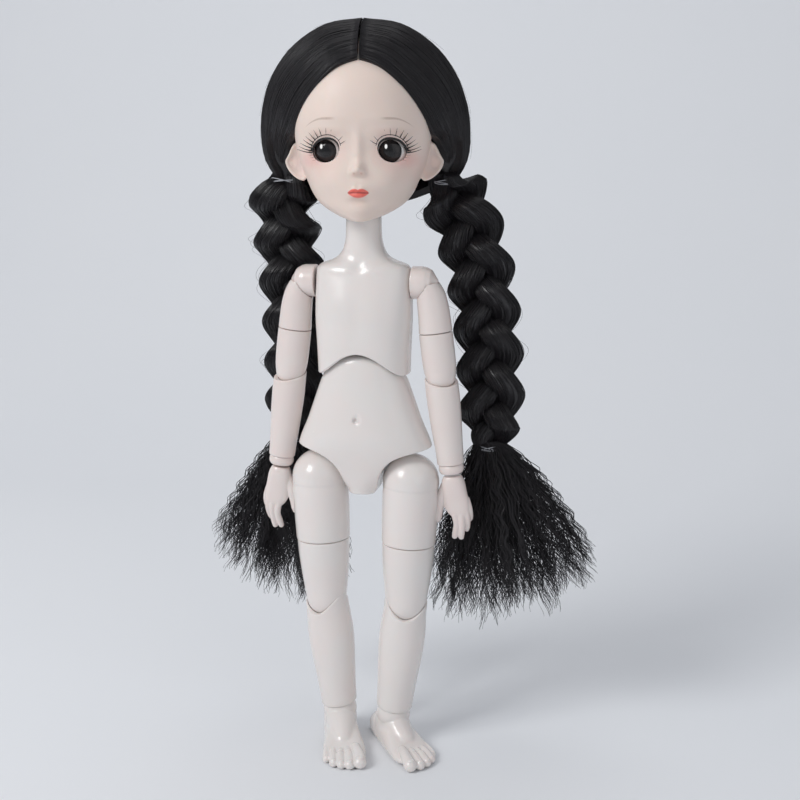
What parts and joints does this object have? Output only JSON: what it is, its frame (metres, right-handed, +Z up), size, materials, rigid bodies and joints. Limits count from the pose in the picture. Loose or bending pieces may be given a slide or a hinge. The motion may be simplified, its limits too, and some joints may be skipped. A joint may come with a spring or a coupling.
{
  "type": "ball jointed doll",
  "caption": "Slim jointed toy doll standing barefoot, with a large head, dark glass-like eyes, and black hair in two long loose braids that end in frayed tassels.",
  "frame": {"origin": "middle of the underside of the box round the standing doll, on the floor under its feet", "axes": "+Z up through the head, -Y the way the chest faces, +X to the doll's own left"},
  "size_m": [0.1582, 0.067, 0.3004],
  "materials": {
    "body_plastic": "gloss",
    "arm_plastic": "gloss",
    "face_vinyl": "matte",
    "joint_plastic": "satin",
    "hair_fibre": "satin",
    "tie_elastic": "gloss",
    "eye_gloss": "gloss",
    "lash_fibre": "satin"
  },
  "bodies": {
    "pelvis": {"pelvis_front": "body_plastic", "pelvis_back": "body_plastic"},
    "waist_knuckle": {"waist_ball": "joint_plastic"},
    "chest": {"chest_front": "body_plastic", "chest_back": "body_plastic"},
    "neck_knuckle": {"neck_ball": "joint_plastic"},
    "head": {"face_shell": "face_vinyl", "head_back": "face_vinyl", "eye_right": "eye_gloss", "eyelashes_right": "lash_fibre", "hair_right": "hair_fibre", "ear_tie_right": "tie_elastic", "braid_right": "hair_fibre", "braid_tie_right": "tie_elastic", "tassel_right": "hair_fibre", "eye_left": "eye_gloss", "eyelashes_left": "lash_fibre", "hair_left": "hair_fibre", "ear_tie_left": "tie_elastic", "braid_left": "hair_fibre", "braid_tie_left": "tie_elastic", "tassel_left": "hair_fibre"},
    "hip_right": {"hip_knuckle_right": "joint_plastic"},
    "thigh_top_right": {"thigh_upper_right": "body_plastic"},
    "thigh_low_right": {"thigh_lower_right": "body_plastic", "knee_pin_right": "joint_plastic"},
    "shin_right": {"shin_right": "body_plastic"},
    "ankle_right": {"ankle_knuckle_right": "joint_plastic"},
    "foot_right": {"foot_right": "body_plastic"},
    "shoulder_right": {"shoulder_knuckle_right": "arm_plastic", "shoulder_pin_right": "joint_plastic"},
    "arm_top_right": {"upper_arm_right": "arm_plastic"},
    "arm_low_right": {"elbow_arm_right": "arm_plastic", "elbow_pin_right": "joint_plastic"},
    "forearm_right": {"forearm_right": "arm_plastic"},
    "wrist_right": {"wrist_knuckle_right": "arm_plastic"},
    "hand_right": {"hand_right": "arm_plastic"},
    "hip_left": {"hip_knuckle_left": "joint_plastic"},
    "thigh_top_left": {"thigh_upper_left": "body_plastic"},
    "thigh_low_left": {"thigh_lower_left": "body_plastic", "knee_pin_left": "joint_plastic"},
    "shin_left": {"shin_left": "body_plastic"},
    "ankle_left": {"ankle_knuckle_left": "joint_plastic"},
    "foot_left": {"foot_left": "body_plastic"},
    "shoulder_left": {"shoulder_knuckle_left": "arm_plastic", "shoulder_pin_left": "joint_plastic"},
    "arm_top_left": {"upper_arm_left": "arm_plastic"},
    "arm_low_left": {"elbow_arm_left": "arm_plastic", "elbow_pin_left": "joint_plastic"},
    "forearm_left": {"forearm_left": "arm_plastic"},
    "wrist_left": {"wrist_knuckle_left": "arm_plastic"},
    "hand_left": {"hand_left": "arm_plastic"}
  },
  "joints": [
    {"name": "waist_bend", "type": "hinge", "parent": "pelvis", "child": "waist_knuckle", "pos_m": [-0.00952, -0.00235, 0.157], "axis": [1, 0, 0], "range_deg": [-6, 8]},
    {"name": "waist_turn", "type": "hinge", "parent": "waist_knuckle", "child": "chest", "pos_m": [-0.00952, -0.00235, 0.157], "axis": [0, 0, 1], "range_deg": [-8, 8]},
    {"name": "head_nod", "type": "hinge", "parent": "chest", "child": "neck_knuckle", "pos_m": [-0.00952, -0.00235, 0.229], "axis": [1, 0, 0], "range_deg": [-8, 12]},
    {"name": "head_turn", "type": "hinge", "parent": "neck_knuckle", "child": "head", "pos_m": [-0.00952, -0.00235, 0.229], "axis": [0, 0, 1], "range_deg": [-40, 40], "deforming": ["braid_right", "braid_tie_right", "tassel_right", "braid_left", "braid_tie_left", "tassel_left"]},
    {"name": "hip_swing_right", "type": "hinge", "parent": "pelvis", "child": "hip_right", "pos_m": [-0.02902, -0.00235, 0.116], "axis": [-1, 0, 0], "range_deg": [-20, 60]},
    {"name": "hip_spread_right", "type": "hinge", "parent": "hip_right", "child": "thigh_top_right", "pos_m": [-0.02902, -0.00235, 0.116], "axis": [0, 1, 0], "range_deg": [0, 4]},
    {"name": "thigh_turn_right", "type": "hinge", "parent": "thigh_top_right", "child": "thigh_low_right", "pos_m": [-0.02792, -0.00235, 0.0895], "axis": [-0.0415, 0, 0.9991], "range_deg": [-30, 20]},
    {"name": "knee_bend_right", "type": "hinge", "parent": "thigh_low_right", "child": "shin_right", "pos_m": [-0.02682, -0.00235, 0.063], "axis": [0.9978, 0.0523, 0.0414], "range_deg": [0, 70]},
    {"name": "ankle_turn_right", "type": "hinge", "parent": "shin_right", "child": "ankle_right", "pos_m": [-0.02132, -0.00235, 0.0125], "axis": [0.1083, 0, -0.9941], "range_deg": [-15, 15]},
    {"name": "ankle_bend_right", "type": "hinge", "parent": "ankle_right", "child": "foot_right", "pos_m": [-0.02132, -0.00235, 0.0125], "axis": [0.9724, 0.2079, 0.1059], "range_deg": [-15, 20]},
    {"name": "shoulder_swing_right", "type": "hinge", "parent": "chest", "child": "shoulder_right", "pos_m": [-0.03652, -0.00235, 0.198], "axis": [-1, 0, 0], "range_deg": [-40, 110]},
    {"name": "shoulder_raise_right", "type": "hinge", "parent": "shoulder_right", "child": "arm_top_right", "pos_m": [-0.03652, -0.00235, 0.198], "axis": [0, 1, 0], "range_deg": [0, 38]},
    {"name": "arm_turn_right", "type": "hinge", "parent": "arm_top_right", "child": "arm_low_right", "pos_m": [-0.03896, -0.00235, 0.17816], "axis": [0.1219, 0, 0.9925], "range_deg": [-60, 60]},
    {"name": "elbow_bend_right", "type": "hinge", "parent": "arm_low_right", "child": "forearm_right", "pos_m": [-0.04109, -0.00235, 0.16077], "axis": [-0.7603, 0.6428, 0.0934], "range_deg": [0, 68]},
    {"name": "wrist_turn_right", "type": "hinge", "parent": "forearm_right", "child": "wrist_right", "pos_m": [-0.04578, -0.00235, 0.12255], "axis": [0.1219, 0, 0.9925], "range_deg": [-60, 60]},
    {"name": "wrist_bend_right", "type": "hinge", "parent": "wrist_right", "child": "hand_right", "pos_m": [-0.04652, -0.00235, 0.11654], "axis": [0, 1, 0], "range_deg": [-4, 25]},
    {"name": "hip_swing_left", "type": "hinge", "parent": "pelvis", "child": "hip_left", "pos_m": [0.00998, -0.00235, 0.116], "axis": [-1, 0, 0], "range_deg": [-20, 60]},
    {"name": "hip_spread_left", "type": "hinge", "parent": "hip_left", "child": "thigh_top_left", "pos_m": [0.00998, -0.00235, 0.116], "axis": [0, -1, 0], "range_deg": [0, 4]},
    {"name": "thigh_turn_left", "type": "hinge", "parent": "thigh_top_left", "child": "thigh_low_left", "pos_m": [0.00888, -0.00235, 0.0895], "axis": [-0.0415, 0, -0.9991], "range_deg": [-30, 20]},
    {"name": "knee_bend_left", "type": "hinge", "parent": "thigh_low_left", "child": "shin_left", "pos_m": [0.00778, -0.00235, 0.063], "axis": [0.9695, 0.2419, -0.0402], "range_deg": [0, 70]},
    {"name": "ankle_turn_left", "type": "hinge", "parent": "shin_left", "child": "ankle_left", "pos_m": [0.00228, -0.00235, 0.0125], "axis": [0.1083, 0, 0.9941], "range_deg": [-15, 15]},
    {"name": "ankle_bend_left", "type": "hinge", "parent": "ankle_left", "child": "foot_left", "pos_m": [0.00228, -0.00235, 0.0125], "axis": [0.7726, 0.6293, -0.0841], "range_deg": [-15, 20]},
    {"name": "shoulder_swing_left", "type": "hinge", "parent": "chest", "child": "shoulder_left", "pos_m": [0.01748, -0.00235, 0.198], "axis": [-1, 0, 0], "range_deg": [-40, 110]},
    {"name": "shoulder_raise_left", "type": "hinge", "parent": "shoulder_left", "child": "arm_top_left", "pos_m": [0.01748, -0.00235, 0.198], "axis": [0, -1, 0], "range_deg": [0, 38]},
    {"name": "arm_turn_left", "type": "hinge", "parent": "arm_top_left", "child": "arm_low_left", "pos_m": [0.01991, -0.00235, 0.17816], "axis": [0.1219, 0, -0.9925], "range_deg": [-60, 60]},
    {"name": "elbow_bend_left", "type": "hinge", "parent": "arm_low_left", "child": "forearm_left", "pos_m": [0.02205, -0.00235, 0.16077], "axis": [-0.7603, -0.6428, -0.0934], "range_deg": [0, 68]},
    {"name": "wrist_turn_left", "type": "hinge", "parent": "forearm_left", "child": "wrist_left", "pos_m": [0.02674, -0.00235, 0.12255], "axis": [-0.1219, 0, 0.9925], "range_deg": [-60, 60]},
    {"name": "wrist_bend_left", "type": "hinge", "parent": "wrist_left", "child": "hand_left", "pos_m": [0.02748, -0.00235, 0.11654], "axis": [0, -1, 0], "range_deg": [-4, 25]}
  ]
}
